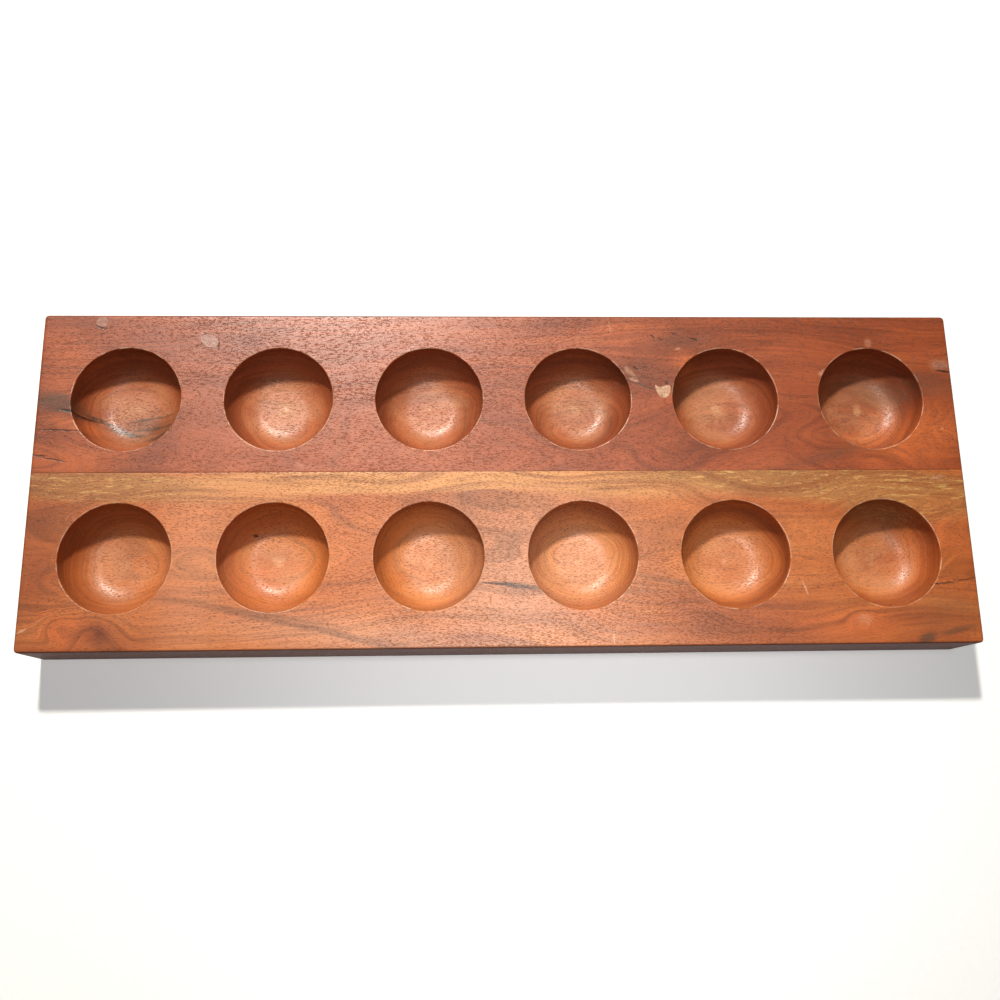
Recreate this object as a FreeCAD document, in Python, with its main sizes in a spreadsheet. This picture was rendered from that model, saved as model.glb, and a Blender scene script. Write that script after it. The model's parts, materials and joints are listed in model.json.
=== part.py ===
"""Six-by-two mancala board: two planks glued edge to edge, with turned pits and small knot fills.

Frame: origin at the centre of the underside, +X along the board, +Y to the rear row, +Z up.
Lengths are in millimetres.
"""
import FreeCAD
import Part

import math
import os

import Sketcher

DRIVING_SIZES = {
    "board_length": 432.0,
    "board_width": 158.75,
    "board_thickness": 32.0,
    "corner_radius": 1.8,
    "edge_ease": 1.0,
    "seam_offset": 2.0,
    "glue_film": 0.15,
    "pit_radius": 25.15,
    "pit_depth": 18.0,
    "pit_floor_fillet": 15.0,
    "pit_rim_ease": 0.4,
    "pit_pitch": 70.2,
    "pits_per_row": 6,
    "row_spacing": 75.0,
    "fill_depth": 2.5,
}

# Each knot fill: its centre on the top face, then its outline about that centre.
REAR_FILLS = {
    "knot_fill_corner": (
        (-188.9, 75.4),
        ((-2.4, 1.9), (1.9, 2.2), (2.5, 0.2), (1.0, -2.0), (-1.2, -1.7)),
    ),
    "knot_fill_rear": (
        (-138.6, 66.5),
        ((-4.0, 2.2), (0.6, 2.9), (4.1, -0.4), (3.4, -3.0), (-0.7, -3.1), (-3.6, -0.6)),
    ),
    "knot_fill_bridge": (
        (75.8, 41.3),
        ((-3.2, 2.7), (0.7, 2.4), (2.9, 2.9), (3.1, -1.4), (1.0, -3.4), (-2.1, -2.2)),
    ),
    "knot_fill_end": (
        (211.2, 53.6),
        ((-2.9, 1.6), (0.8, 2.2), (3.1, 1.4), (3.2, -1.2), (0.2, -1.0), (-2.2, -1.7)),
    ),
}

ORIGIN_POINT = (-1, 1)
START = 1
END = 2
CENTRE = 3
TOLERANCE = 1e-4
QUARTER_TURN = math.pi / 2
PIT_FULLNESS = 0.75  # a pit removes at least this share of a plain cylinder of its size

doc = FreeCAD.newDocument("MancalaBoard")
sizes = doc.addObject("Spreadsheet::Sheet", "Sizes")
for row, (alias, value) in enumerate(DRIVING_SIZES.items(), start=1):
    sizes.set(f"A{row}", alias)
    sizes.set(f"B{row}", str(value))
    sizes.setAlias(f"B{row}", alias)
doc.recompute()


def new_body(label):
    body = doc.addObject("PartDesign::Body", label)
    body.Label = label
    return body


def sketch_on(body, role, name):
    """An empty sketch on one of the body's own origin planes."""
    plane = next(item for item in body.Origin.OriginFeatures if item.Role == role)
    sketch = body.newObject("Sketcher::SketchObject", name)
    sketch.AttachmentSupport = [(plane, "")]
    sketch.MapMode = "FlatFace"
    return sketch


def bind(sketch, kind, first, second, expression):
    """A distance from one sketch point to another, as drawn at first and then driven by the sheet."""
    drawn = sketch.getPoint(*second) - sketch.getPoint(*first)
    value = drawn.x if kind == "DistanceX" else drawn.y
    index = sketch.addConstraint(Sketcher.Constraint(kind, *first, *second, value))
    sketch.setExpression(f"Constraints[{index}]", expression)


def bind_radius(sketch, bend, expression):
    drawn = sketch.Geometry[bend].Radius
    index = sketch.addConstraint(Sketcher.Constraint("Radius", bend, drawn))
    sketch.setExpression(f"Constraints[{index}]", expression)


def line(sketch, start, end):
    return sketch.addGeometry(Part.LineSegment(FreeCAD.Vector(*start, 0), FreeCAD.Vector(*end, 0)))


def arc(sketch, centre, radius, start_angle, end_angle):
    circle = Part.Circle(FreeCAD.Vector(*centre, 0), FreeCAD.Vector(0, 0, 1), radius)
    return sketch.addGeometry(Part.ArcOfCircle(circle, start_angle, end_angle))


def plank_outline(body, inner_sign, inner_edge, outer_sign):
    """A plank's rectangle, from its glued edge to its outer edge.

    The glued edge lies at inner_edge; the outer edge at half the board's width on the outer_sign side.
    """
    length = DRIVING_SIZES["board_length"]
    width = DRIVING_SIZES["board_width"]
    seam = DRIVING_SIZES["seam_offset"]
    low, high = sorted((seam, outer_sign * width / 2))
    corners = [(-length / 2, low), (length / 2, low), (length / 2, high), (-length / 2, high)]
    sketch = sketch_on(body, "XY_Plane", "Outline")
    sides = [line(sketch, corners[i], corners[(i + 1) % 4]) for i in range(4)]
    for i in range(4):
        sketch.addConstraint(
            Sketcher.Constraint("Coincident", sides[i], END, sides[(i + 1) % 4], START)
        )
        sketch.addConstraint(Sketcher.Constraint("Horizontal" if i % 2 == 0 else "Vertical", sides[i]))
    bind(sketch, "DistanceX", (sides[0], START), ORIGIN_POINT, "Sizes.board_length / 2")
    bind(sketch, "DistanceX", ORIGIN_POINT, (sides[0], END), "Sizes.board_length / 2")
    half_width = "Sizes.board_width / 2"
    if outer_sign > 0:
        bind(sketch, "DistanceY", ORIGIN_POINT, (sides[0], START), inner_edge)
        bind(sketch, "DistanceY", ORIGIN_POINT, (sides[2], START), half_width)
    else:
        bind(sketch, "DistanceY", ORIGIN_POINT, (sides[2], START), inner_edge)
        bind(sketch, "DistanceY", (sides[0], START), ORIGIN_POINT, half_width)
    return sketch


def pit_profile(body, row_y):
    """Half of a pit's section, from its centre line out to the wall.

    The wall is straight, and runs into a flat floor through one large fillet.
    """
    radius = DRIVING_SIZES["pit_radius"]
    top = DRIVING_SIZES["board_thickness"]
    floor = top - DRIVING_SIZES["pit_depth"]
    fillet = DRIVING_SIZES["pit_floor_fillet"]
    ease = DRIVING_SIZES["pit_rim_ease"]
    sketch = sketch_on(body, "XZ_Plane", "PitProfile")
    sketch.setExpression(
        "AttachmentOffset.Base.x", "-Sizes.pit_pitch * (Sizes.pits_per_row - 1) / 2"
    )
    sketch.setExpression("AttachmentOffset.Base.z", f"-({row_y})")
    axis = line(sketch, (0, top), (0, floor))
    bottom = line(sketch, (0, floor), (radius - fillet, floor))
    bend = arc(sketch, (radius - fillet, floor + fillet), fillet, -QUARTER_TURN, 0)
    wall = line(sketch, (radius, floor + fillet), (radius, top - ease))
    rim = arc(sketch, (radius + ease, top - ease), ease, QUARTER_TURN, 2 * QUARTER_TURN)
    lid = line(sketch, (radius + ease, top), (0, top))
    joined = [
        ("Coincident", axis, END, bottom, START),
        ("Tangent", bottom, END, bend, START),
        ("Tangent", bend, END, wall, START),
        ("Tangent", wall, END, rim, END),
        ("Coincident", rim, START, lid, START),
        ("Coincident", lid, END, axis, START),
        ("Vertical", axis),
        ("Vertical", wall),
        ("Horizontal", bottom),
        ("Horizontal", lid),
        ("Vertical", rim, START, rim, CENTRE),
        ("PointOnObject", axis, START, -2),
    ]
    for constraint in joined:
        sketch.addConstraint(Sketcher.Constraint(*constraint))
    bind(sketch, "DistanceX", ORIGIN_POINT, (wall, START), "Sizes.pit_radius")
    bind(sketch, "DistanceY", ORIGIN_POINT, (lid, END), "Sizes.board_thickness")
    bind(sketch, "DistanceY", (axis, END), (axis, START), "Sizes.pit_depth")
    bind_radius(sketch, bend, "Sizes.pit_floor_fillet")
    bind_radius(sketch, rim, "Sizes.pit_rim_ease")
    return sketch


def outer_edges(shape, seam_y, vertical):
    """The names of a plank's free edges: the upright ones at its corners, or the top and bottom ones."""
    names = []
    for number, edge in enumerate(shape.Edges, start=1):
        box = edge.BoundBox
        on_seam = abs(box.YMin - seam_y) < TOLERANCE and abs(box.YMax - seam_y) < TOLERANCE
        upright = box.ZLength > TOLERANCE
        if not on_seam and upright == vertical:
            names.append(f"Edge{number}")
    return names


def ease_edges(body, name, seam_y, vertical, radius_alias):
    """Rounds a plank's free edges and leaves its glued edge sharp."""
    base = body.Tip
    fillet = body.newObject("PartDesign::Fillet", name)
    fillet.Base = (base, outer_edges(base.Shape, seam_y, vertical))
    fillet.setExpression("Radius", f"Sizes.{radius_alias}")
    doc.recompute()


def fill_outline(body, name, centre, points, level):
    """A knot fill's outline: one closed smooth curve through its points, at a height given by level."""
    sketch = sketch_on(body, "XY_Plane", name)
    sketch.setExpression("AttachmentOffset.Base.z", level)
    curve = Part.BSplineCurve()
    through = [FreeCAD.Vector(centre[0] + x, centre[1] + y, 0) for x, y in points]
    curve.interpolate(Points=through, PeriodicFlag=True)
    sketch.addGeometry(curve)
    return sketch


def cut_pits(body, row_y):
    """Turns one pit at the row's left end and repeats it along the board."""
    before = body.Shape.Volume
    pit = body.newObject("PartDesign::Groove", "Pit")
    pit.Profile = pit_profile(body, row_y)
    pit.ReferenceAxis = (pit.Profile[0], ["V_Axis"])
    pit.Angle = 360.0
    doc.recompute()
    row_of_pits = body.newObject("PartDesign::LinearPattern", "PitRow")
    row_of_pits.Originals = [pit]
    row_of_pits.Direction = (pit.Profile[0], ["H_Axis"])
    row_of_pits.setExpression("Length", "Sizes.pit_pitch * (Sizes.pits_per_row - 1)")
    row_of_pits.setExpression("Occurrences", "Sizes.pits_per_row")
    body.Tip = row_of_pits
    doc.recompute()
    one_pit = math.pi * DRIVING_SIZES["pit_radius"] ** 2 * DRIVING_SIZES["pit_depth"]
    removed = before - body.Shape.Volume
    if not PIT_FULLNESS * one_pit < removed / DRIVING_SIZES["pits_per_row"] < one_pit:
        raise ValueError(f"the pits of {body.Label} removed {removed} cubic mm")


def cut_fill_pocket(body, name, centre, points):
    """A shallow pocket that a knot fill sits in."""
    before = body.Shape.Volume
    pocket = body.newObject("PartDesign::Pocket", f"Pocket_{name}")
    pocket.Profile = fill_outline(body, f"Outline_{name}", centre, points, "Sizes.board_thickness")
    pocket.setExpression("Length", "Sizes.fill_depth")
    doc.recompute()
    if body.Shape.Volume > before - TOLERANCE:
        raise ValueError(f"the pocket for {name} cut nothing")


def make_plank(label, outer_sign, seam_side, fills):
    """One plank with its row of pits; outer_sign is +1 for the rear plank and -1 for the front one."""
    inner_edge = f"Sizes.seam_offset {seam_side} Sizes.glue_film / 2"
    body = new_body(label)
    pad = body.newObject("PartDesign::Pad", "Plank")
    pad.Profile = plank_outline(body, seam_side, inner_edge, outer_sign)
    pad.setExpression("Length", "Sizes.board_thickness")
    doc.recompute()
    seam_y = DRIVING_SIZES["seam_offset"] + outer_sign * DRIVING_SIZES["glue_film"] / 2
    ease_edges(body, "Corners", seam_y, True, "corner_radius")
    ease_edges(body, "Edges", seam_y, False, "edge_ease")
    cut_pits(body, f"{outer_sign} * Sizes.row_spacing / 2")
    for name, (centre, points) in fills.items():
        cut_fill_pocket(body, name, centre, points)
    return body


def make_glue_line():
    """The adhesive film between the planks, as tall as the board and rounded where its ends are eased."""
    body = new_body("glue_line")
    half = DRIVING_SIZES["board_length"] / 2
    top = DRIVING_SIZES["board_thickness"]
    ease = DRIVING_SIZES["edge_ease"]
    sketch = sketch_on(body, "XZ_Plane", "FilmOutline")
    sketch.setExpression("AttachmentOffset.Base.z", "-(Sizes.seam_offset + Sizes.glue_film / 2)")
    bottom = line(sketch, (ease - half, 0), (half - ease, 0))
    right = line(sketch, (half, ease), (half, top - ease))
    upper = line(sketch, (half - ease, top), (ease - half, top))
    left = line(sketch, (-half, top - ease), (-half, ease))
    sides = [bottom, right, upper, left]
    centres = [(half - ease, ease), (half - ease, top - ease), (ease - half, top - ease), (ease - half, ease)]
    bends = [arc(sketch, centres[i], ease, (i - 1) * QUARTER_TURN, i * QUARTER_TURN) for i in range(4)]
    for i in range(4):
        following = sides[(i + 1) % 4]
        sketch.addConstraint(Sketcher.Constraint("Tangent", sides[i], END, bends[i], START))
        sketch.addConstraint(Sketcher.Constraint("Tangent", bends[i], END, following, START))
        sketch.addConstraint(Sketcher.Constraint("Vertical" if i % 2 else "Horizontal", sides[i]))
    for i in range(1, 4):
        sketch.addConstraint(Sketcher.Constraint("Equal", bends[0], bends[i]))
    sketch.addConstraint(Sketcher.Constraint("PointOnObject", bottom, START, -1))
    bind(sketch, "DistanceX", ORIGIN_POINT, (right, START), "Sizes.board_length / 2")
    bind(sketch, "DistanceX", (left, START), ORIGIN_POINT, "Sizes.board_length / 2")
    bind(sketch, "DistanceY", ORIGIN_POINT, (upper, START), "Sizes.board_thickness")
    bind_radius(sketch, bends[0], "Sizes.edge_ease")
    pad = body.newObject("PartDesign::Pad", "Film")
    pad.Profile = sketch
    pad.setExpression("Length", "Sizes.glue_film")
    doc.recompute()
    return body


def make_knot_fill(label, centre, points):
    """One hardened filler plug, flush with the top face."""
    body = new_body(label)
    level = "Sizes.board_thickness - Sizes.fill_depth"
    pad = body.newObject("PartDesign::Pad", "Plug")
    pad.Profile = fill_outline(body, "PlugOutline", centre, points, level)
    pad.setExpression("Length", "Sizes.fill_depth")
    doc.recompute()
    return body


def check_document():
    """Stops if any object failed to compute."""
    for item in doc.Objects:
        if any(word in item.State for word in ("Invalid", "Error")):
            raise ValueError(f"{item.Label} is {item.State}")


def check_fit(pieces):
    """Stops if two pieces of the board overlap."""
    for index, first in enumerate(pieces):
        for second in pieces[index + 1:]:
            shared = first.Shape.common(second.Shape).Volume
            if shared > TOLERANCE:
                raise ValueError(f"{first.Label} and {second.Label} overlap by {shared}")


def export(pieces):
    os.makedirs("parts", exist_ok=True)
    for piece in pieces:
        shape = piece.Shape
        if shape.isNull() or not shape.isValid() or len(shape.Solids) != 1:
            raise ValueError(f"{piece.Label} isn't one valid solid")
        shape.exportStep(f"parts/{piece.Label}.step")
        print(piece.Label, round(shape.Volume), "cubic mm")


pieces = [
    make_plank("rear_plank", 1, "+", REAR_FILLS),
    make_plank("front_plank", -1, "-", {}),
    make_glue_line(),
]
pieces += [make_knot_fill(name, *fill) for name, fill in REAR_FILLS.items()]
doc.recompute()
check_document()
check_fit(pieces)
export(pieces)
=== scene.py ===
"""Looks for the mancala board: two lacquered hardwood planks with turned pits, glue film and knot fills.

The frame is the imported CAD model. Lengths are in metres unless a name ends in _mm.
"""
import json
import math
import random

import bmesh
import bpy
import numpy as np
from mathutils import Euler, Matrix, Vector, noise


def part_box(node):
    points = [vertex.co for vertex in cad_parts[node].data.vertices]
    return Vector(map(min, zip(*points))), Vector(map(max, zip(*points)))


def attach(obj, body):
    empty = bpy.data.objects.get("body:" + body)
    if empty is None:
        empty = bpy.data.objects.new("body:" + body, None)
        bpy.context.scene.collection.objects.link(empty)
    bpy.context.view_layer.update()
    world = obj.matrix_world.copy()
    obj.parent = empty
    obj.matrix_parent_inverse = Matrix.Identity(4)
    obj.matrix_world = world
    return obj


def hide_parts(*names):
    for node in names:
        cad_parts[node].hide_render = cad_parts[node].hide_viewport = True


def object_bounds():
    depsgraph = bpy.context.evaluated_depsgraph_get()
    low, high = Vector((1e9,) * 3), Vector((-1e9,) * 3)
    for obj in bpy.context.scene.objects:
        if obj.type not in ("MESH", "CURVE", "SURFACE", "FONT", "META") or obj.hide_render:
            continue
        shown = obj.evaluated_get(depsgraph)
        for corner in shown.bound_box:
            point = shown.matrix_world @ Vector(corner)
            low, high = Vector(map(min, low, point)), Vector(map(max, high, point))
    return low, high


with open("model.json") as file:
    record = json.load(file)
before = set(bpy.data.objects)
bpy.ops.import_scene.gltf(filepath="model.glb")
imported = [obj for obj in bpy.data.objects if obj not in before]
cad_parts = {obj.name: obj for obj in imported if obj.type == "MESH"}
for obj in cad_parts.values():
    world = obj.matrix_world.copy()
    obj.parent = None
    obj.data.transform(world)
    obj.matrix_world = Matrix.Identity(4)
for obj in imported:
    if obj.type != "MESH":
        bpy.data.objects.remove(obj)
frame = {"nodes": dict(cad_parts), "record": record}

CAD_LOW, CAD_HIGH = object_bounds()
MM = 0.001

# ---------------------------------------------------------------- sizes of the board
EDGE_EASE = 1.0 * MM
SEAM_EASE = 0.14 * MM
CORNER_ARC = 0.8 * MM
PIT_RADIUS = 25.15 * MM
PIT_DEPTH = 18.0 * MM
FLOOR_FILLET = 15.0 * MM
RIM_EASE = 0.4 * MM
LACQUER_DROP = 0.05 * MM
FADE_DEPTH = 1.0 * MM
NIB_HEIGHT = 0.12 * MM
NIB_RADIUS = 1.0 * MM
FLOOR_DISH = 0.9 * MM
TOOL_RING_PITCH = 1.9 * MM
TOOL_RING_DEPTH = 0.006 * MM
RIM_LAND = 1.2 * MM
RIM_GUARD = 0.12 * MM
FLOOR_BLEND = 3 * MM
CENTRE_DIMPLE = 0.02 * MM
RIM_WEAR = 0.10 * MM
RIM_WEAR_REACH = 0.5 * MM
RIM_WEAR_WAVES = 6
DENT_COUNT = 26
DENT_RADII = (1.2, 3.2)
DENT_DEPTHS = (0.03, 0.11)
GLUE_INSET = 0.16 * MM
GLUE_WAVER = 0.03 * MM
PLUG_SHOULDER = 0.07 * MM
PLUG_ROUNDING = 0.02 * MM
PLUG_LUMP = 0.03 * MM

# ---------------------------------------------------------------- mesh density
CELL_STEP = 1.5 * MM
LAND_RINGS = 13
LAND_BUNCHING = 1.15
SIDE_RINGS = 12
ARC_STEPS = 4
WALL_STEPS = 6
FILLET_STEPS = 17
FLOOR_STEPS = 20
GLUE_STATIONS = 145
CORNER_STEPS = (0.2 * MM, 0.45 * MM, 0.8 * MM)
JOIN_DISTANCE = 2e-6
SLIVER = 1e-6
TINY = 1e-9


def pit_centres(row):
    """The centres of one row's pits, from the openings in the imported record."""
    openings = frame["record"]["physics"]["openings"]
    boxes = [o["box_m"] for o in openings if o["name"].startswith(row)]
    return sorted(((low[0] + high[0]) / 2, (low[1] + high[1]) / 2) for low, high in boxes)


def soft_noise(x, y, z=0.0):
    return noise.noise(Vector((x, y, z)))


# ---------------------------------------------------------------- plank mesh
def samples(low, high, fine_low, fine_high):
    """Stations from low to high, closer together at an end that has a rounded corner."""
    count = max(2, round((high - low) / CELL_STEP))
    stations = list(np.linspace(low, high, count + 1))
    if fine_low:
        stations += [low + step for step in CORNER_STEPS]
    if fine_high:
        stations += [high - step for step in CORNER_STEPS]
    return sorted(stations)


def depth_share(radius):
    """How far the slightly dished floor has risen at a radius: nothing at the centre, 1 near the wall."""
    reach = min(1.0, radius / (PIT_RADIUS - FLOOR_BLEND))
    from_wall = (PIT_RADIUS + TINY - radius) / FLOOR_BLEND
    return reach * reach * max(0.0, min(1.0, from_wall))


def pit_section(seed):
    """Half of a pit's section from rim to centre, as (radius, depth) pairs, with light tool rings."""
    rim_turns = np.linspace(0, math.pi / 2, ARC_STEPS + 1)
    points = [(PIT_RADIUS + RIM_LAND, 0.0), (PIT_RADIUS + RIM_EASE + RIM_GUARD, 0.0)]
    points += [
        (PIT_RADIUS + RIM_EASE * (1 - math.sin(a)), RIM_EASE * (1 - math.cos(a))) for a in rim_turns
    ]
    straight_end = PIT_DEPTH - FLOOR_FILLET
    points += [(PIT_RADIUS, d) for d in np.linspace(RIM_EASE, straight_end, WALL_STEPS)[1:]]
    for a in np.linspace(0, math.pi / 2, FILLET_STEPS)[1:]:
        points.append(
            (
                PIT_RADIUS - FLOOR_FILLET * (1 - math.cos(a)),
                straight_end + FLOOR_FILLET * math.sin(a),
            )
        )
    points = [(radius, depth - FLOOR_DISH * depth_share(radius)) for radius, depth in points]
    flat_radius = PIT_RADIUS - FLOOR_FILLET
    for radius in np.linspace(flat_radius, 0.5 * MM, FLOOR_STEPS)[1:]:
        ring = math.sin(2 * math.pi * radius / TOOL_RING_PITCH + seed)
        depth = PIT_DEPTH - FLOOR_DISH * depth_share(radius) - TOOL_RING_DEPTH * (1 + ring)
        depth -= NIB_HEIGHT * math.exp(-((radius / NIB_RADIUS) ** 2))
        points.append((radius, depth))
    return points


def cell_outline(xs, ys):
    """The points round a rectangular cell, anticlockwise from its lower left corner."""
    lower = [(x, ys[0]) for x in xs[:-1]]
    right = [(xs[-1], y) for y in ys[:-1]]
    upper = [(x, ys[-1]) for x in xs[:0:-1]]
    left = [(xs[0], y) for y in ys[:0:-1]]
    return lower + right + upper + left


class Shell:
    """Collects rings of points and the faces between them."""

    def __init__(self):
        self.points = []
        self.faces = []

    def ring(self, points):
        start = len(self.points)
        self.points += points
        return list(range(start, len(self.points)))

    def bridge(self, first, second, closed=True):
        count = len(first)
        for i in range(count if closed else count - 1):
            j = (i + 1) % count
            self.faces.append((first[i], first[j], second[j], second[i]))

    def cap(self, loop, centre):
        middle = self.ring([centre])[0]
        for i in range(len(loop)):
            self.faces.append((loop[i], loop[(i + 1) % len(loop)], middle))

    def to_object(self, name):
        """A mesh object with doubled points joined, thin leftovers dropped and smooth shading."""
        mesh = bpy.data.meshes.new(name)
        mesh.from_pydata(self.points, [], self.faces)
        work = bmesh.new()
        work.from_mesh(mesh)
        bmesh.ops.remove_doubles(work, verts=work.verts, dist=JOIN_DISTANCE)
        bmesh.ops.dissolve_degenerate(work, edges=work.edges, dist=SLIVER)
        bmesh.ops.recalc_face_normals(work, faces=work.faces)
        for face in work.faces:
            face.smooth = True
        work.to_mesh(mesh)
        work.free()
        piece = bpy.data.objects.new(name, mesh)
        bpy.context.scene.collection.objects.link(piece)
        return piece


def add_cell(shell, centre, xs, ys, top, seed):
    """One pit and the flat land round it, out to the cell's rectangle."""
    outline = cell_outline(xs, ys)
    angles = [math.atan2(y - centre[1], x - centre[0]) for x, y in outline]
    loops = []
    section = pit_section(seed)
    first_radius = section[0][0]
    for k in range(LAND_RINGS):
        share = (k / LAND_RINGS) ** LAND_BUNCHING
        loop = []
        for (x, y), a in zip(outline, angles):
            near_x = centre[0] + first_radius * math.cos(a)
            near_y = centre[1] + first_radius * math.sin(a)
            loop.append((x + (near_x - x) * share, y + (near_y - y) * share, top))
        loops.append(shell.ring(loop))
    for radius, depth in section:
        loop = []
        for a in angles:
            wave_x, wave_y = RIM_WEAR_WAVES * math.cos(a) + seed, RIM_WEAR_WAVES * math.sin(a)
            wear = RIM_WEAR * soft_noise(wave_x, wave_y, seed)
            reach = radius + wear * math.exp(-depth / RIM_WEAR_REACH)
            loop.append((centre[0] + reach * math.cos(a), centre[1] + reach * math.sin(a), top - depth))
        loops.append(shell.ring(loop))
    for outer, inner in zip(loops, loops[1:]):
        shell.bridge(outer, inner)
    floor_depth = section[-1][1]
    shell.cap(loops[-1], (centre[0], centre[1], top - floor_depth - CENTRE_DIMPLE))


def outer_ring(xs, ys, outer_sign):
    """The plank's inset outline as (x, y, offset x, offset y, drop) entries, anticlockwise.

    The offset leads out to the true face, and drop is how far the easing reaches down.
    """
    x_low, x_high = xs[0], xs[-1]
    y_low, y_high = ys[0], ys[-1]
    entries = []
    for x, y in cell_outline(xs, ys):
        on_inner = abs(y - (y_low if outer_sign > 0 else y_high)) < TINY
        at_end = abs(x - x_low) < TINY or abs(x - x_high) < TINY
        side = 1 if abs(x - x_high) < TINY else -1
        if on_inner:
            seam = (x, y, 0.0, -outer_sign * SEAM_EASE, SEAM_EASE)
            end = (x, y, side * EDGE_EASE, -outer_sign * SEAM_EASE, EDGE_EASE)
            if not at_end:
                entries.append(seam)
            elif (side > 0) == (outer_sign > 0):
                entries += [seam, end]
            else:
                entries += [end, seam]
            continue
        arc_x = min(max(x, x_low + CORNER_ARC), x_high - CORNER_ARC)
        arc_y = min(y, y_high - CORNER_ARC) if outer_sign > 0 else max(y, y_low + CORNER_ARC)
        out = Vector((x - arc_x, y - arc_y))
        if abs(out.x) > TINY and abs(out.y) > TINY:
            out.normalize()
            x, y = arc_x + out.x * CORNER_ARC, arc_y + out.y * CORNER_ARC
        else:
            out.normalize()
        entries.append((x, y, out.x * EDGE_EASE, out.y * EDGE_EASE, EDGE_EASE))
    return entries


def add_sides(shell, entries, top):
    """The eased top edge, the upright faces and the eased bottom edge."""
    loops = []
    turns = np.linspace(0, math.pi / 2, ARC_STEPS + 1)

    def loop_at(turn, height_of):
        points = []
        for x, y, out_x, out_y, drop in entries:
            points.append((x + out_x * math.sin(turn), y + out_y * math.sin(turn), height_of(drop)))
        return shell.ring(points)

    for turn in turns:
        loops.append(loop_at(turn, lambda drop: top - drop * (1 - math.cos(turn))))
    for share in np.linspace(0, 1, SIDE_RINGS + 1)[1:-1]:
        loops.append(loop_at(math.pi / 2, lambda drop: (top - drop) * (1 - share) + drop * share))
    for turn in turns[::-1]:
        loops.append(loop_at(turn, lambda drop: drop * (1 - math.cos(turn))))
    for upper, lower in zip(loops, loops[1:]):
        shell.bridge(upper, lower)


def add_underside(shell, xs, ys, corner_of):
    """The flat bottom, on the same stations as the top."""
    rows = []
    for y in ys:
        rows.append(shell.ring([corner_of(x, y) + (0.0,) for x in xs]))
    for lower, upper in zip(rows, rows[1:]):
        shell.bridge(lower, upper, closed=False)


def rounded_corner(x_low, x_high, y_outer, outer_sign):
    """A function that moves a point of the sharp outline onto the rounded one."""

    def move(x, y):
        arc_x = min(max(x, x_low + CORNER_ARC), x_high - CORNER_ARC)
        arc_y = y_outer - outer_sign * CORNER_ARC
        beyond = (y - arc_y) * outer_sign
        if beyond <= 0 or abs(x - arc_x) < TINY:
            return (x, y)
        out = Vector((x - arc_x, y - arc_y))
        square_reach = max(abs(out.x), abs(out.y))
        out.normalize()
        return (arc_x + out.x * square_reach, arc_y + out.y * square_reach)

    return move


def weather_top(piece, top, seed):
    """Lets the top sink a hair below the fills, with gentle waves and a few shallow dents."""
    picker = random.Random(seed)
    low, high = Vector(piece.bound_box[0]), Vector(piece.bound_box[6])
    dents = []
    for _ in range(DENT_COUNT):
        dents.append(
            (
                picker.uniform(low.x, high.x),
                picker.uniform(low.y, high.y),
                picker.uniform(*DENT_RADII) * MM,
                picker.uniform(*DENT_DEPTHS) * MM,
            )
        )
    for vertex in piece.data.vertices:
        share = 1 - (top - vertex.co.z) / FADE_DEPTH
        if share <= 0:
            continue
        x, y = vertex.co.x, vertex.co.y
        drop = LACQUER_DROP * (1.0 + 0.6 * soft_noise(x * 22, y * 60, seed))
        for dent_x, dent_y, reach, depth in dents:
            distance = math.hypot(x - dent_x, y - dent_y)
            if distance < 2.5 * reach:
                drop += depth * math.exp(-((distance / reach) ** 2))
        vertex.co.z -= drop * share


def make_plank(node, row, outer_sign, seed):
    """The detailed plank that stands for a CAD plank."""
    low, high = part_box(node)
    top = high.z
    x_low, x_high = low.x + EDGE_EASE, high.x - EDGE_EASE
    y_low = low.y + (SEAM_EASE if outer_sign > 0 else EDGE_EASE)
    y_high = high.y - (EDGE_EASE if outer_sign > 0 else SEAM_EASE)
    centres = pit_centres(row)
    pitch = centres[1][0] - centres[0][0]
    ys = samples(y_low, y_high, outer_sign < 0, outer_sign > 0)
    to_round = rounded_corner(x_low, x_high, y_high if outer_sign > 0 else y_low, outer_sign)
    shell = Shell()
    all_xs = []
    for index, centre in enumerate(centres):
        is_first, is_last = index == 0, index == len(centres) - 1
        left = x_low if is_first else centre[0] - pitch / 2
        right = x_high if is_last else centre[0] + pitch / 2
        xs = samples(left, right, is_first, is_last)
        add_cell(shell, centre, xs, ys, top, seed + index)
        all_xs += xs if is_first else xs[1:]
    shell.points = [to_round(x, y) + (z,) for x, y, z in shell.points]
    add_sides(shell, outer_ring(all_xs, ys, outer_sign), top)
    add_underside(shell, all_xs, ys, to_round)
    piece = shell.to_object(f"{node}_wood")
    weather_top(piece, top, seed)
    return piece


# ---------------------------------------------------------------- small pieces
def make_glue_film():
    """The thin film in the seam, a little below the planks' faces and slightly uneven along its top."""
    low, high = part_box("glue_line")
    stations = np.linspace(low.x + GLUE_INSET, high.x - GLUE_INSET, GLUE_STATIONS)
    shell = Shell()
    loops = []
    for x in stations:
        near_end = min(x - low.x, high.x - x)
        bite = EDGE_EASE - math.sqrt(max(0.0, EDGE_EASE**2 - max(0.0, EDGE_EASE - near_end) ** 2))
        waver = GLUE_WAVER * soft_noise(x * 90, 0.3)
        upper = high.z - GLUE_INSET - bite + waver
        lower = low.z + GLUE_INSET + bite
        corners = [(low.y, lower), (high.y, lower), (high.y, upper), (low.y, upper)]
        loops.append(shell.ring([(x, y, z) for y, z in corners]))
    for first, second in zip(loops, loops[1:]):
        shell.bridge(first, second)
    for loop in (loops[0], loops[-1]):
        shell.faces.append(tuple(loop))
    return shell.to_object("glue_film")


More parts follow.
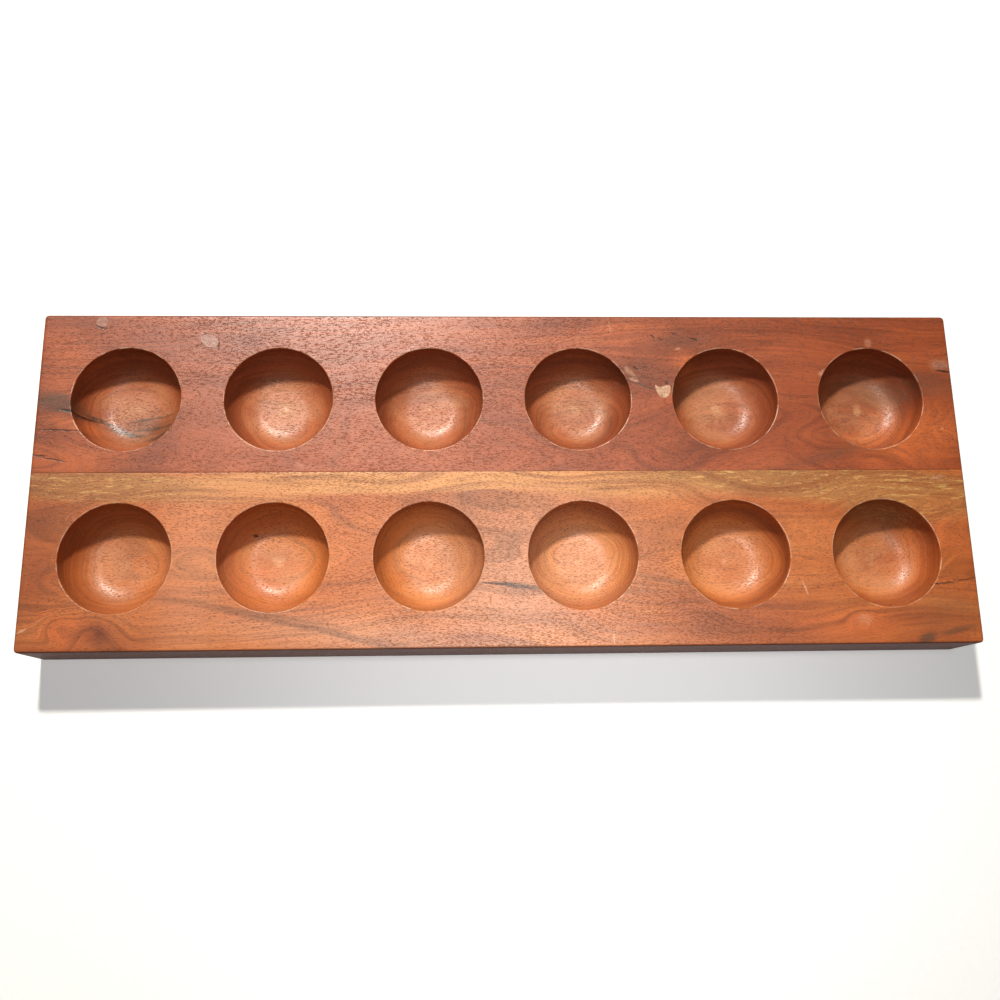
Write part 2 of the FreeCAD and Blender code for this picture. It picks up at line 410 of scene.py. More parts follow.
def make_fill_top(node, seed):
    """A filler plug: the CAD plug's own outline, with a rounded shoulder and a slightly lumpy face."""
    mesh = frame["nodes"][node].data
    low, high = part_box(node)
    top_points = {}
    for vertex in mesh.vertices:
        if vertex.co.z > high.z - SLIVER:
            top_points[(round(vertex.co.x, 6), round(vertex.co.y, 6))] = True
    centre = ((low.x + high.x) / 2, (low.y + high.y) / 2)
    outline = sorted(top_points, key=lambda p: math.atan2(p[1] - centre[1], p[0] - centre[0]))
    shell = Shell()
    profile = [(1.0, low.z), (1.0, high.z - PLUG_SHOULDER)]
    profile += [(0.985, high.z - PLUG_ROUNDING), (0.95, high.z)]
    profile += [(share, high.z) for share in (0.85, 0.7, 0.5, 0.3, 0.12)]
    loops = []
    for share, height in profile:
        loop = []
        for x, y in outline:
            px, py = centre[0] + (x - centre[0]) * share, centre[1] + (y - centre[1]) * share
            lump = PLUG_LUMP * (1 + soft_noise(px * 700, py * 700, seed)) if share < 0.97 else 0.0
            loop.append((px, py, height - lump))
        loops.append(shell.ring(loop))
    for outer, inner in zip(loops, loops[1:]):
        shell.bridge(outer, inner)
    shell.cap(loops[-1], (centre[0], centre[1], high.z - PLUG_LUMP))
    shell.cap(loops[0], (centre[0], centre[1], low.z))
    return shell.to_object(f"{node}_plug")


# ---------------------------------------------------------------- material helpers
def srgb(red, green, blue):
    """A colour from 0-255 display values, as the linear colour that shaders use."""

    def linear(value):
        share = value / 255
        return share / 12.92 if share <= 0.04045 else ((share + 0.055) / 1.055) ** 2.4

    return (linear(red), linear(green), linear(blue), 1.0)


class Graph:
    """A material's node tree, with one short method for each kind of node."""

    def __init__(self, name):
        self.material = bpy.data.materials.new(name)
        self.material.use_nodes = True
        self.tree = self.material.node_tree
        self.tree.nodes.clear()
        self.shader = self.tree.nodes.new("ShaderNodeBsdfPrincipled")
        output = self.tree.nodes.new("ShaderNodeOutputMaterial")
        self.tree.links.new(self.shader.outputs[0], output.inputs[0])

    def put(self, value, socket):
        """Links a node's output to the socket, or sets the socket to a plain value."""
        if isinstance(value, bpy.types.NodeSocket):
            self.tree.links.new(value, socket)
        else:
            socket.default_value = value

    def position_mm(self):
        """The point on the board, in millimetres."""
        coords = self.tree.nodes.new("ShaderNodeTexCoord")
        return self.scaled(coords.outputs["Object"], (1000, 1000, 1000))

    def scaled(self, vector, scale, shift=(0, 0, 0)):
        node = self.tree.nodes.new("ShaderNodeVectorMath")
        node.operation = "MULTIPLY_ADD"
        self.put(vector, node.inputs[0])
        node.inputs[1].default_value = scale
        node.inputs[2].default_value = shift
        return node.outputs[0]

    def vector_sum(self, first, second):
        node = self.tree.nodes.new("ShaderNodeVectorMath")
        self.put(first, node.inputs[0])
        self.put(second, node.inputs[1])
        return node.outputs[0]

    def length(self, vector):
        node = self.tree.nodes.new("ShaderNodeVectorMath")
        node.operation = "LENGTH"
        self.put(vector, node.inputs[0])
        return node.outputs["Value"]

    def math(self, operation, *values):
        node = self.tree.nodes.new("ShaderNodeMath")
        node.operation = operation
        for value, socket in zip(values, node.inputs):
            self.put(value, socket)
        return node.outputs[0]

    def times(self, first, second):
        return self.math("MULTIPLY", first, second)

    def plus(self, first, second):
        return self.math("ADD", first, second)

    def parts(self, vector):
        node = self.tree.nodes.new("ShaderNodeSeparateXYZ")
        self.put(vector, node.inputs[0])
        return node.outputs

    def joined(self, x, y, z):
        node = self.tree.nodes.new("ShaderNodeCombineXYZ")
        for value, socket in zip((x, y, z), node.inputs):
            self.put(value, socket)
        return node.outputs[0]

    def noise(self, vector, detail, roughness, colour=False):
        node = self.tree.nodes.new("ShaderNodeTexNoise")
        self.put(vector, node.inputs["Vector"])
        node.inputs["Scale"].default_value = 1.0
        node.inputs["Detail"].default_value = detail
        node.inputs["Roughness"].default_value = roughness
        return node.outputs["Color" if colour else "Fac"]

    def between(self, value, low, high, out_low=0.0, out_high=1.0):
        """A smooth step from out_low to out_high as the value goes from low to high."""
        node = self.tree.nodes.new("ShaderNodeMapRange")
        node.interpolation_type = "SMOOTHSTEP"
        self.put(value, node.inputs["Value"])
        node.inputs["From Min"].default_value = low
        node.inputs["From Max"].default_value = high
        node.inputs["To Min"].default_value = out_low
        node.inputs["To Max"].default_value = out_high
        return node.outputs[0]

    def ramp(self, value, stops):
        node = self.tree.nodes.new("ShaderNodeValToRGB")
        self.put(value, node.inputs[0])
        elements = node.color_ramp.elements
        while len(elements) < len(stops):
            elements.new(0.5)
        for element, (place, colour) in zip(elements, stops):
            element.position = place
            element.color = colour
        return node.outputs[0]

    def mix(self, share, first, second, blend="MIX"):
        node = self.tree.nodes.new("ShaderNodeMix")
        node.data_type = "RGBA"
        node.blend_type = blend
        self.put(share, node.inputs["Factor"])
        self.put(first, node.inputs[6])
        self.put(second, node.inputs[7])
        return node.outputs[2]

    def patch(self, position, centre, half_sizes, angle, soft, strength):
        """1 inside an ellipse lying in the board's plane, falling smoothly to 0 outside it."""
        node = self.tree.nodes.new("ShaderNodeMapping")
        node.vector_type = "TEXTURE"
        self.put(position, node.inputs["Vector"])
        node.inputs["Location"].default_value = (centre[0], centre[1], 0)
        node.inputs["Rotation"].default_value = (0, 0, math.radians(angle))
        node.inputs["Scale"].default_value = (half_sizes[0], half_sizes[1], 1e4)
        return self.between(self.length(node.outputs[0]), 1 + soft, 1 - soft, 0.0, strength)

    def patches(self, position, spots):
        """The strongest of several patches at each point."""
        total = None
        for spot in spots:
            mask = self.patch(position, *spot)
            total = mask if total is None else self.math("MAXIMUM", total, mask)
        return total

    def bump(self, height, distance, strength=1.0, below=None):
        node = self.tree.nodes.new("ShaderNodeBump")
        node.inputs["Strength"].default_value = strength
        node.inputs["Distance"].default_value = distance
        self.put(height, node.inputs["Height"])
        if below is not None:
            self.put(below, node.inputs["Normal"])
        return node.outputs[0]

    def finish(self, colour, roughness, normal, coat, coat_roughness):
        self.put(colour, self.shader.inputs["Base Color"])
        self.put(roughness, self.shader.inputs["Roughness"])
        self.put(normal, self.shader.inputs["Normal"])
        self.put(normal, self.shader.inputs["Coat Normal"])
        self.shader.inputs["Coat Weight"].default_value = coat
        self.shader.inputs["Coat Roughness"].default_value = coat_roughness
        return self.material


# ---------------------------------------------------------------- wood
# A patch is (centre, half sizes, angle in degrees, softness, strength), in millimetres on the top face.
# For a knot, strength is how far in millimetres it swells the growth rings. A tone is (place, colour).
REAR = {
    "seed": 3.1,
    "row_y": 37.5,
    "heart": (14.0, -46.0),
    "knots": [],
    "tones": [
        (0.25, srgb(116, 56, 34)),
        (0.42, srgb(156, 79, 46)),
        (0.55, srgb(180, 94, 56)),
        (0.75, srgb(202, 116, 76)),
    ],
    "shade_along": [(0.0, (0.93, 0.90, 0.84, 1)), (0.45, (0.98, 1, 0.96, 1)), (0.72, (0.86, 0.78, 0.66, 1)),
                    (1.0, (0.80, 0.66, 0.46, 1))],
    "grey": [
        ((-208.0, 36.0), (11.0, 4.6), -14, 0.5, 0.85),
        ((-204.0, 32.0), (9.0, 1.6), -8, 0.5, 0.9),
        ((-191.0, 31.5), (12.0, 1.1), -20, 0.5, 0.9),
        ((-180.0, 26.0), (10.0, 1.3), -12, 0.5, 0.95),
        ((-168.0, 33.5), (10.0, 0.8), 12, 0.5, 0.85),
        ((-166.0, 28.5), (13.0, 0.9), 6, 0.5, 0.9),
        ((-161.0, 25.0), (10.0, 1.4), 18, 0.5, 0.95),
        ((-168.0, 28.0), (15.0, 5.5), 6, 0.7, 0.5),
        ((66.0, 43.8), (9.0, 0.7), -22, 0.7, 0.9),
        ((70.0, 48.0), (14.0, 7.0), -10, 0.9, 0.35),
        ((86.0, 66.5), (16.0, 4.0), 0, 0.9, 0.35),
        ((190.0, 45.5), (27.0, 6.5), -4, 0.7, 0.6),
        ((156.0, 10.0), (23.0, 2.4), 15, 0.9, 0.45),
    ],
    "orange": [
        ((193.0, 19.0), (25.0, 12.0), 8, 0.7, 0.75),
        ((-202.0, 26.0), (10.0, 3.4), -6, 0.6, 0.7),
        ((-196.0, 9.0), (20.0, 8.0), 0, 0.9, 0.55),
        ((-202.0, 54.0), (12.0, 14.0), 0, 0.9, 0.4),
        ((60.0, 72.0), (14.0, 6.0), 0, 0.9, 0.35),
        ((88.0, 55.0), (5.0, 7.0), 30, 0.8, 0.5),
    ],
    "pale": [
        ((60.5, 50.5), (3.4, 1.2), -50, 0.7, 0.5),
        ((62.0, 46.8), (2.2, 0.9), -20, 0.5, 0.6),
        ((177.0, 65.6), (1.7, 2.2), 0, 0.4, 0.22),
        ((153.0, 50.4), (2.0, 1.0), 40, 0.6, 0.4),
        ((208.5, 22.0), (1.0, 0.7), 0, 0.5, 0.5),
        ((51.5, 74.0), (0.35, 2.6), 8, 0.5, 0.35),
        ((211.0, 54.5), (4.5, 2.4), 0, 0.8, 0.25),
        ((84.0, 62.5), (1.4, 0.5), 20, 0.5, 0.5),
    ],
    "black": [
        ((-204.0, 22.4), (11.0, 0.35), -2, 0.6, 0.8),
        ((-212.5, 10.2), (4.0, 0.4), -6, 0.6, 0.85),
        ((-206.0, 8.2), (6.0, 0.35), -10, 0.7, 0.7),
        ((-199.0, 31.6), (7.0, 0.5), -6, 0.5, 0.9),
        ((63.3, 52.8), (1.5, 0.4), -30, 0.6, 0.8),
        ((67.5, 53.2), (1.8, 0.35), -10, 0.6, 0.6),
        ((72.0, 69.0), (1.5, 0.35), -40, 0.6, 0.85),
        ((76.5, 67.4), (1.0, 0.35), 0, 0.6, 0.7),
        ((82.5, 70.4), (1.4, 0.35), -20, 0.6, 0.8),
        ((92.0, 67.6), (1.9, 0.5), -20, 0.6, 0.9),
        ((212.4, 51.0), (3.6, 0.45), -10, 0.4, 0.95),
        ((-140.0, 69.6), (2.2, 0.35), -18, 0.5, 0.8),
        ((-134.3, 64.2), (0.4, 1.7), -10, 0.5, 0.8),
        ((-189.5, 73.0), (2.4, 0.5), -20, 0.5, 0.8),
        ((78.0, 45.2), (1.0, 1.2), 30, 0.5, 0.7),
    ],
}
FRONT = {
    "seed": 11.7,
    "row_y": -37.5,
    "heart": (-30.0, -40.0),
    "knots": [
        ((-183.0, -71.0), (11.0, 8.5), -15, 0.95, 9.0),
        ((-198.0, -68.0), (6.0, 5.0), -20, 0.95, 5.0),
        ((161.0, -69.0), (5.0, 3.5), 0, 0.95, 3.0),
    ],
    "knot_core": [
        ((-182.0, -71.2), (6.2, 4.4), -20, 0.6, 0.55),
        ((-180.4, -71.6), (2.2, 1.5), -25, 0.6, 0.75),
        ((-197.8, -68.0), (3.4, 2.2), -20, 0.7, 0.5),
        ((161.0, -69.0), (2.2, 1.3), 10, 0.7, 0.4),
    ],
    "tones": [
        (0.25, srgb(140, 74, 36)),
        (0.42, srgb(184, 102, 52)),
        (0.55, srgb(208, 122, 62)),
        (0.75, srgb(228, 150, 86)),
    ],
    "shade_along": [(0.0, (0.76, 0.66, 0.64, 1)), (0.18, (0.98, 0.94, 0.86, 1)), (0.38, (1, 1, 0.96, 1)),
                    (0.62, (0.98, 1.0, 1.0, 1)), (0.78, (0.84, 0.74, 0.68, 1)), (1.0, (0.80, 0.66, 0.54, 1))],
    "grey": [
        ((-95.0, -68.0), (48.0, 1.4), -12, 0.8, 0.6),
        ((-80.0, -72.0), (36.0, 0.9), -14, 0.8, 0.6),
        ((-110.0, -63.0), (34.0, 0.9), -10, 0.8, 0.55),
        ((6.0, -51.8), (12.0, 1.3), -7, 0.6, 0.9),
        ((74.0, -50.0), (12.0, 1.2), -10, 0.8, 0.5),
        ((171.0, -18.0), (14.0, 5.5), 0, 0.8, 0.25),
        ((185.0, -23.0), (4.5, 9.0), 10, 0.6, 0.35),
        ((190.0, -77.0), (5.5, 2.0), 25, 0.6, 0.8),
        ((205.0, -73.0), (9.0, 1.3), 14, 0.6, 0.7),
        ((200.0, -66.0), (16.0, 8.0), 10, 0.9, 0.4),
        ((-20.0, -30.0), (9.0, 22.0), 0, 0.9, 0.25),
    ],
    "orange": [
        ((-196.0, -68.0), (12.0, 9.0), -20, 0.7, 0.75),
        ((-120.0, -40.0), (60.0, 26.0), 0, 0.9, 0.45),
        ((160.0, -70.0), (24.0, 6.0), 0, 0.9, 0.6),
        ((204.0, -32.0), (16.0, 16.0), 0, 0.9, 0.5),
        ((40.0, -62.0), (18.0, 5.0), 0, 0.9, 0.4),
    ],
    "pale": [
        ((10.0, -45.0), (38.0, 36.0), 0, 0.9, 0.35),
        ((-140.0, -42.0), (16.0, 30.0), 0, 0.9, 0.4),
        ((-80.0, -71.0), (60.0, 8.0), -6, 0.9, 0.35),
        ((203.0, -1.8), (3.2, 0.6), 15, 0.5, 0.7),
        ((203.4, -2.4), (3.0, 0.5), -25, 0.5, 0.7),
        ((47.6, -74.5), (0.35, 3.8), 0, 0.4, 0.8),
        ((-213.0, -69.7), (2.2, 0.5), 30, 0.4, 0.7),
        ((136.0, -53.8), (0.5, 3.4), 20, 0.4, 0.5),
        ((162.0, -68.3), (3.0, 2.0), 0, 0.7, 0.6),
    ],
    "sap": [
        ((-60.0, -2.5), (110.0, 6.0), 1, 0.3, 0.75),
        ((-120.0, -7.0), (40.0, 5.5), 2, 0.35, 0.6),
        ((40.0, -2.0), (60.0, 8.0), -4, 0.4, 0.6),
    ],
    "olive": [
        ((-186.0, -4.0), (44.0, 7.6), -3, 0.3, 0.85),
        ((150.0, -4.0), (90.0, 9.0), -4, 0.3, 0.9),
        ((190.0, -12.0), (36.0, 10.0), -5, 0.4, 0.8),
    ],
    "black": [
        ((202.0, -51.8), (4.0, 0.4), 4, 0.5, 0.7),
        ((211.0, -50.4), (5.0, 0.35), 10, 0.6, 0.6),
        ((197.4, -52.3), (1.6, 0.4), 0, 0.5, 0.85),
        ((142.0, -53.4), (0.7, 0.35), 0, 0.5, 0.6),
        ((-116.0, -24.5), (0.9, 0.7), 0, 0.5, 0.85),
        ((-5.0, -50.6), (8.0, 0.4), -4, 0.5, 0.8),
    ],
}
GREY_STAIN = srgb(84, 62, 48)
ORANGE_GLOW = srgb(214, 112, 54)
PALE_WOOD = srgb(232, 176, 140)
OLIVE_SAP = srgb(176, 120, 66)
YELLOW_SAP = srgb(226, 162, 98)
YELLOW_FLECK = srgb(228, 178, 104)
KNOT_RED = srgb(104, 46, 28)
# painted shade: a dark brown laid on the upright sides and ends in place of the shade that falls on them
PAINTED_SIDE_SHADE = srgb(78, 24, 10)
BLACK_MARK = srgb(46, 24, 16)
PORE_COLOUR = srgb(70, 34, 22)
DRY_WOOD = srgb(222, 160, 112)
CENTRE_TAN = srgb(240, 186, 134)
RIM_TAN = srgb(236, 186, 152)
# painted shade: a darker brown laid on the pit walls in place of the shade inside the pits
PAINTED_WALL_SHADE = srgb(120, 58, 34)
TINTED_FILLER = (srgb(138, 84, 62), srgb(160, 102, 80), srgb(182, 124, 98))
PALE_FILLER = (srgb(168, 116, 84), srgb(202, 156, 122), srgb(222, 182, 146))
BOARD_MM = 32.0
LENGTH_MM = 432
PITCH_MM = 70.2
FIRST_PIT_SHIFT = 3.5

# Noise scales are waves per millimetre along x, y and z.
SLOW_BEND = (0.009, 0.03, 0.03)
QUICK_BEND = (0.02, 0.05, 0.05)
MOTTLE = (0.03, 0.06, 0.06)
STAIN_WAVER = (0.05, 0.16, 0.16)
MARK_WAVER = (0.4, 0.5, 0.5)
FLECK = (0.13, 0.8, 0.8)
PORE = (0.62, 2.3, 2.3)
PORE_CLUSTER = (0.02, 0.07, 0.07)
SWELL = (0.12, 0.22, 0.22)
SKIN = (1.1, 1.5, 1.5)
DRY_PATCH = (0.05, 0.09, 0.09)
BLOTCH = (0.25, 0.3, 0.3)


def ring_distance(g, position, heart, knots):
    """How far a point lies from the tree's centre line, with slow bends and a swelling at each knot."""
    slow = g.noise(g.scaled(position, SLOW_BEND), 1.5, 0.5, colour=True)
    bend = g.scaled(slow, (0, 16, 16), (0, -8, -8))
    quick = g.noise(g.scaled(position, QUICK_BEND, (4, 9, 2)), 1.0, 0.5, colour=True)
    ripple = g.scaled(quick, (0, 2.4, 2.4), (0, -1.2, -1.2))
    bent = g.vector_sum(g.vector_sum(position, bend), ripple)
    distance = g.length(g.scaled(bent, (0, 1, 1), (0, -heart[0], -heart[1])))
    for knot in knots:
        distance = g.plus(distance, g.patch(position, *knot))
    return distance


def pit_wear_and_wall_shade(g, colour, position, row_y):
    """Drier wood on the pit floors, painted shade on the walls, a pale centre in some pits and rubbed rims.
    """
    x, y, z = g.parts(position)
    from_centre = g.math("PINGPONG", g.plus(x, PITCH_MM * FIRST_PIT_SHIFT), PITCH_MM / 2)
    across = g.math("SUBTRACT", y, row_y)
    reach = g.length(g.joined(from_centre, across, 0.0))
    below_rim = g.between(z, BOARD_MM - 0.3, BOARD_MM - 2.5)
    above_floor = g.between(z, BOARD_MM - 19.5, BOARD_MM - 19.0)
    pit = g.times(g.times(g.between(reach, 25.3, 24.9), below_rim), above_floor)

    flat = g.times(pit, g.between(reach, 23.5, 13.0))
    dry_patches = g.between(g.noise(g.scaled(position, DRY_PATCH), 3.0, 0.6), 0.3, 0.65, 0.12, 0.44)
    colour = g.mix(g.times(flat, dry_patches), colour, DRY_WOOD)
    # painted shade: the pit walls are darkened towards the rim to stand in for the shade inside the pits
    wall = g.times(pit, g.between(reach, 18.0, 24.5))
    colour = g.mix(g.times(wall, 0.30), colour, PAINTED_WALL_SHADE)

    blotch = g.noise(g.scaled(position, BLOTCH), 3.0, 0.7)
    ragged_reach = g.plus(reach, g.times(blotch, 9.0))
    centre_mark = g.times(pit, g.between(ragged_reach, 8.4, 4.6))
    by_pit = g.noise(g.scaled(position, (0.012, 0.02, 0.0), (3, 1, 0)), 1.0, 0.5)
    some_pits = g.between(by_pit, 0.35, 0.6, 0.05, 0.4)
    colour = g.mix(g.times(centre_mark, some_pits), colour, CENTRE_TAN)

    rim = g.times(g.between(reach, 24.95, 25.2), g.between(reach, 25.75, 25.45))
    rim = g.times(rim, g.between(z, BOARD_MM - 0.9, BOARD_MM - 0.3))
    round_rim = g.noise(g.scaled(position, (0.15, 0.15, 0.0)), 2.0, 0.5)
    rubbed = g.between(round_rim, 0.40, 0.62, 0.0, 0.62)
    return g.mix(g.times(rim, rubbed), colour, RIM_TAN)


def figure(g, position, look):
    """The grain as three noises that run along x and follow the growth rings: bands, lines, fibres."""
    x = g.parts(position)[0]
    ring = ring_distance(g, position, look["heart"], look["knots"])

    def along_grain(x_scale, ring_scale, shift, detail):
        stretched = g.joined(g.times(x, x_scale), g.times(ring, ring_scale), look["seed"] + shift)
        return g.noise(stretched, detail, 0.6)

    return (
        along_grain(0.008, 0.14, 0.0, 4.0),
        along_grain(0.014, 0.9, 5.0, 3.0),
        along_grain(0.07, 4.5, 9.0, 2.0),
    )


def ground_colour(g, position, look, bands):
    """The plank's own colour before stains, with the slow change of tone along its length."""
    x = g.parts(position)[0]
    mottle = g.noise(g.scaled(position, MOTTLE, (look["seed"], 0, 0)), 3.0, 0.6)
    tone = g.plus(g.times(bands, 0.75), g.times(mottle, 0.25))
    colour = g.ramp(tone, look["tones"])
    share_along = g.math("MULTIPLY_ADD", x, 1 / LENGTH_MM, 0.5)
    return g.mix(1.0, colour, g.ramp(share_along, look["shade_along"]), "MULTIPLY")


def pore_mask(g, position, seed):
    """1 in the short dark pores, which crowd together in some places."""
    field = g.noise(g.scaled(position, PORE, (0, seed, seed)), 3.0, 0.7)
    cluster = g.noise(g.scaled(position, PORE_CLUSTER, (seed, seed, 0)), 2.0, 0.5)
    return g.between(g.math("SUBTRACT", field, g.times(cluster, 0.16)), 0.46, 0.55)


def side_mask(g, position):
    """1 on the upright outer faces, 0 on the top and in the pits."""
    x, y, _ = g.parts(position)
    long_side = g.between(g.math("ABSOLUTE", y), 78.5, 79.2)
    end_side = g.between(g.math("ABSOLUTE", x), 215.2, 215.9)
    return g.math("MAXIMUM", long_side, end_side)


def wood_material(name, look):
    """Solid figured wood under satin lacquer; the figure runs through the whole plank."""
    g = Graph(name)
    seed = look["seed"]
    position = g.position_mm()
    bands, lines, fibres = figure(g, position, look)
    colour = ground_colour(g, position, look, bands)

    waver = g.noise(g.scaled(position, STAIN_WAVER, (0, seed, 0)), 3.0, 0.65, colour=True)
    ragged = g.vector_sum(position, g.scaled(waver, (9, 3.6, 0), (-4.5, -1.8, 0)))
    fine_waver = g.noise(g.scaled(position, MARK_WAVER, (0, seed, 0)), 2.0, 0.6, colour=True)
    crisp = g.vector_sum(position, g.scaled(fine_waver, (1.4, 1.0, 0), (-0.7, -0.5, 0)))
    streaky = g.between(lines, 0.3, 0.62, 0.45, 1.0)

    def stain(colour, group, tint, where, texture=None):
        mask = g.patches(where, look[group])
        if texture is not None:
            mask = g.times(mask, texture)
        return g.mix(mask, colour, tint)

    colour = stain(colour, "pale", PALE_WOOD, crisp)
    if "olive" in look:
        colour = stain(colour, "sap", YELLOW_SAP, ragged, streaky)
        colour = stain(colour, "olive", OLIVE_SAP, ragged, streaky)
        fleck_field = g.noise(g.scaled(position, FLECK, (seed, 0, seed)), 3.0, 0.65)
        flecks = g.between(fleck_field, 0.54, 0.66, 0.0, 0.7)
        colour = stain(colour, "olive", YELLOW_FLECK, ragged, flecks)
        colour = stain(colour, "knot_core", KNOT_RED, crisp)
    colour = stain(colour, "orange", ORANGE_GLOW, ragged, streaky)

    line_shade = g.between(lines, 0.36, 0.52, 0.80, 1.04)
    fibre_shade = g.between(fibres, 0.3, 0.7, 0.88, 1.08)
    shade = g.times(line_shade, fibre_shade)
    colour = g.mix(1.0, colour, g.joined(shade, shade, shade), "MULTIPLY")

    pores = pore_mask(g, position, seed)
    marks = g.patches(crisp, look["black"])
    side = side_mask(g, position)
    colour = pit_wear_and_wall_shade(g, colour, position, look["row_y"])
    colour = g.mix(g.times(pores, 0.50), colour, PORE_COLOUR)
    colour = stain(colour, "grey", GREY_STAIN, ragged, streaky)
    colour = g.mix(marks, colour, BLACK_MARK)
    # painted shade: the upright sides and ends are darkened to stand in for the shade on them
    colour = g.mix(g.times(side, 0.9), colour, PAINTED_SIDE_SHADE)

    swell = g.noise(g.scaled(position, SWELL), 2.0, 0.5)
    skin = g.noise(g.scaled(position, SKIN), 3.0, 0.6)
    height = g.plus(g.times(fibres, 0.25), g.times(skin, 0.45))
    height = g.math("SUBTRACT", height, g.times(pores, 0.8))
    height = g.math("SUBTRACT", height, g.times(marks, 1.6))
    normal = g.bump(height, 0.07 * MM, 0.9, g.bump(swell, 0.10 * MM, 0.5))
    roughness = g.between(skin, 0.3, 0.7, 0.34, 0.44)
    roughness = g.plus(roughness, g.times(pores, 0.12))
    roughness = g.plus(roughness, g.times(side, 0.35))
    return g.finish(colour, roughness, normal, 0.08, 0.3)


def filler_material(name, tones):
    """Hardened filler: a grainy putty under the same lacquer."""
    g = Graph(name)
    position = g.position_mm()
    clouds = g.noise(g.scaled(position, (0.5, 0.6, 0.6)), 4.0, 0.65)
    grit = g.noise(g.scaled(position, (3.5, 4.0, 4.0)), 3.0, 0.7)
    colour = g.ramp(clouds, [(0.3, tones[0]), (0.5, tones[1]), (0.7, tones[2])])
    shade = g.between(grit, 0.3, 0.65, 0.84, 1.05)
    colour = g.mix(1.0, colour, g.joined(shade, shade, shade), "MULTIPLY")
    normal = g.bump(grit, 0.05 * MM, 0.7)
    return g.finish(colour, g.between(clouds, 0.3, 0.7, 0.34, 0.5), normal, 0.3, 0.26)


def glue_material():
    """Dried wood glue, dark with sanding dust."""
    g = Graph("glue")
    position = g.position_mm()
    dust = g.noise(g.scaled(position, (0.3, 3.0, 0.6)), 3.0, 0.6)
    colour = g.ramp(dust, [(0.35, srgb(92, 48, 28)), (0.65, srgb(150, 92, 54))])
    roughness = g.between(dust, 0.3, 0.7, 0.45, 0.65)
    return g.finish(colour, roughness, g.bump(dust, 0.03 * MM, 0.6), 0.1, 0.4)


def floor_material():
    """A matt, nearly white floor with a faint glow of its own."""
    g = Graph("pale_floor")
    position = g.position_mm()
    grain = g.noise(g.scaled(position, (0.4, 0.4, 0.4)), 2.0, 0.5)
    colour = g.ramp(grain, [(0.3, (0.84, 0.84, 0.83, 1)), (0.7, (0.88, 0.88, 0.87, 1))])
    g.shader.inputs["Emission Color"].default_value = (1.0, 1.0, 1.0, 1)
    g.shader.inputs["Emission Strength"].default_value = FLOOR_GLOW
    roughness = g.between(grain, 0.3, 0.7, 0.7, 0.8)
    return g.finish(colour, roughness, g.bump(grain, 0.02 * MM, 0.2), 0.0, 0.3)


# ---------------------------------------------------------------- stage, light and camera
FLOOR_HALF = 4.0
FLOOR_GLOW = 0.28
KEY_PLACE = (-0.235, 0.83, 1.19)
KEY_SIZE, KEY_POWER = 0.10, 23.5
KEY_COLOUR = (1.0, 0.95, 0.88)
OVERHEAD_PLACE = (0.0, -0.14, 1.2)
OVERHEAD_SIZE, OVERHEAD_POWER = 0.07, 2.7
OVERHEAD_COLOUR = (1.0, 0.96, 0.92)
POOL_PLACE = (0.09, -0.05, 1.2)
POOL_TARGET = (0.03, -0.095, 0)
POOL_CONE_DEGREES, POOL_SIZE, POOL_POWER = 19.0, 0.09, 22.0
POOL_COLOUR = (0.97, 0.98, 1.0)
AMBIENT_COLOUR = (1.0, 0.98, 0.96, 1)
AMBIENT_STRENGTH = 0.022
CAMERA_LENS, CAMERA_SENSOR = 37.44, 36.0
CAMERA_PLACE = (-0.0224, -0.1260, 0.4635)
CAMERA_TURN_DEGREES = (13.87, -2.24, -0.86)


def make_floor():
    mesh = bpy.data.meshes.new("floor")
    signs = [(-1, -1), (1, -1), (1, 1), (-1, 1)]
    mesh.from_pydata([(x * FLOOR_HALF, y * FLOOR_HALF, 0) for x, y in signs], [], [(0, 1, 2, 3)])
    floor = bpy.data.objects.new("floor", mesh)
    bpy.context.scene.collection.objects.link(floor)
    mesh.materials.append(floor_material())


def above_top(place, top):
    """A point given from the board's top face, as a point in the frame."""
    return Vector((place[0], place[1], top + place[2]))


def hang(name, data, place, target):
    """Puts a lamp in the scene, pointing at its target."""
    lamp = bpy.data.objects.new(name, data)
    lamp.location = place
    lamp.rotation_euler = (target - place).to_track_quat("-Z", "Y").to_euler()
    bpy.context.scene.collection.objects.link(lamp)


def disk_light(name, size, power, colour):
    data = bpy.data.lights.new(name, "AREA")
    data.shape = "DISK"
    data.size = size
    data.energy = power
    data.color = colour
    return data


def pool_light(name):
    """A soft-edged spot that brightens only part of the board."""
    data = bpy.data.lights.new(name, "SPOT")
    data.energy = POOL_POWER
    data.color = POOL_COLOUR
    data.spot_size = math.radians(POOL_CONE_DEGREES)
    data.spot_blend = 1.0
    data.shadow_soft_size = POOL_SIZE
    return data


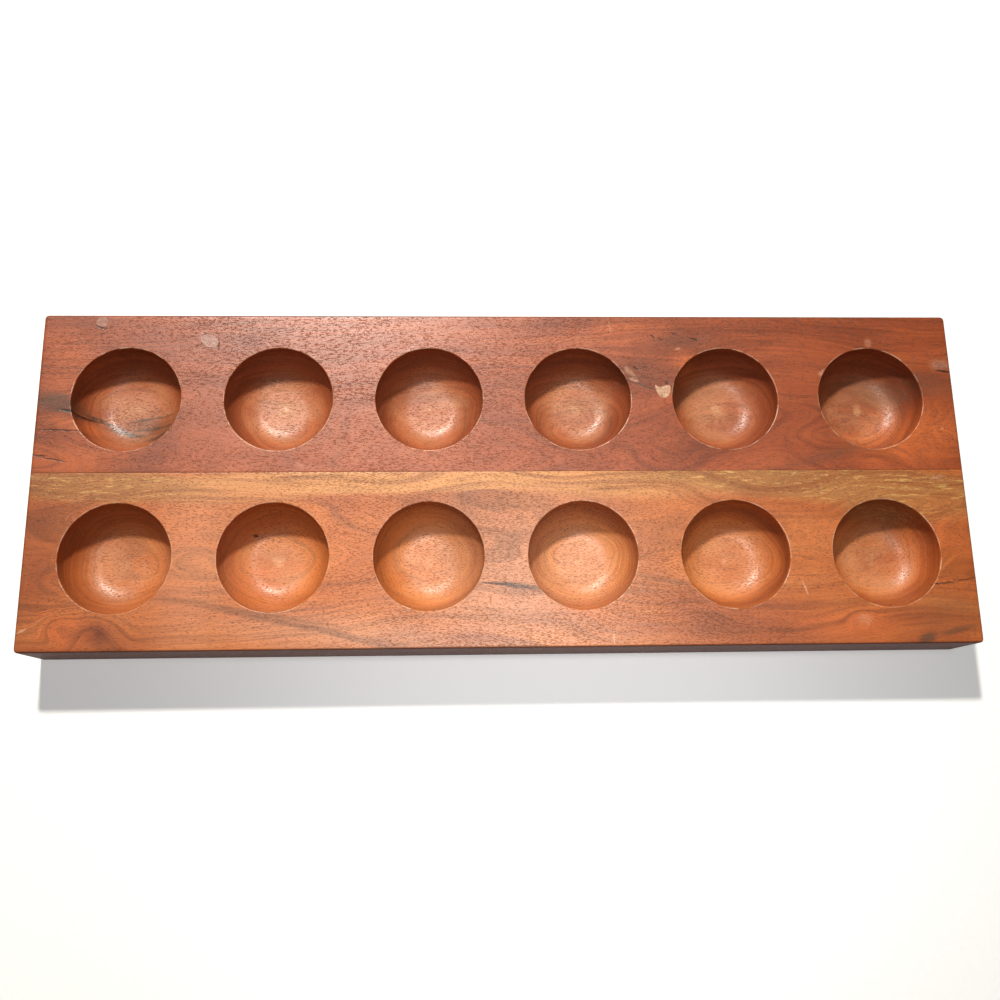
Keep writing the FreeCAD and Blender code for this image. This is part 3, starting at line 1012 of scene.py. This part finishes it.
def make_light(top):
    """A key lamp behind the board, a small lamp overhead, a pool on the front plank and faint ambient."""
    middle = Vector((0, 0, top))
    key = disk_light("key", KEY_SIZE, KEY_POWER, KEY_COLOUR)
    hang("key", key, above_top(KEY_PLACE, top), middle)
    overhead = disk_light("overhead", OVERHEAD_SIZE, OVERHEAD_POWER, OVERHEAD_COLOUR)
    hang("overhead", overhead, above_top(OVERHEAD_PLACE, top), middle)
    hang("front_pool", pool_light("front_pool"), above_top(POOL_PLACE, top), above_top(POOL_TARGET, top))
    world = bpy.data.worlds.new("studio")
    world.use_nodes = True
    background = world.node_tree.nodes["Background"]
    background.inputs[0].default_value = AMBIENT_COLOUR
    background.inputs[1].default_value = AMBIENT_STRENGTH
    bpy.context.scene.world = world
    bpy.context.scene.view_settings.view_transform = "Standard"


def make_camera(top):
    data = bpy.data.cameras.new("camera")
    data.lens = CAMERA_LENS
    data.sensor_width = CAMERA_SENSOR
    camera = bpy.data.objects.new("camera", data)
    camera.location = above_top(CAMERA_PLACE, top)
    camera.rotation_euler = Euler([math.radians(a) for a in CAMERA_TURN_DEGREES], "XYZ")
    bpy.context.scene.collection.objects.link(camera)
    bpy.context.scene.camera = camera


def dress(piece, material, slot, *nodes):
    """Gives a piece its material, hangs it under the root body and hides the CAD nodes it stands for."""
    piece.data.materials.clear()
    piece.data.materials.append(material)
    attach(piece, "root")
    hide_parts(*nodes)


rear = make_plank("rear_plank", "rear", 1, 3)
front = make_plank("front_plank", "front", -1, 17)
dress(rear, wood_material("rear_wood", REAR), "rear_wood", "rear_plank")
dress(front, wood_material("front_wood", FRONT), "front_wood", "front_plank")
dress(make_glue_film(), glue_material(), "glue", "glue_line")
tinted = filler_material("filler_tinted", TINTED_FILLER)
pale = filler_material("filler_pale", PALE_FILLER)
for index, node in enumerate(sorted(n for n in frame["nodes"] if n.startswith("knot_fill"))):
    filler = pale if node == "knot_fill_bridge" else tinted
    dress(make_fill_top(node, index), filler, "filler", node)

make_floor()
make_light(CAD_HIGH.z)
make_camera(CAD_HIGH.z)
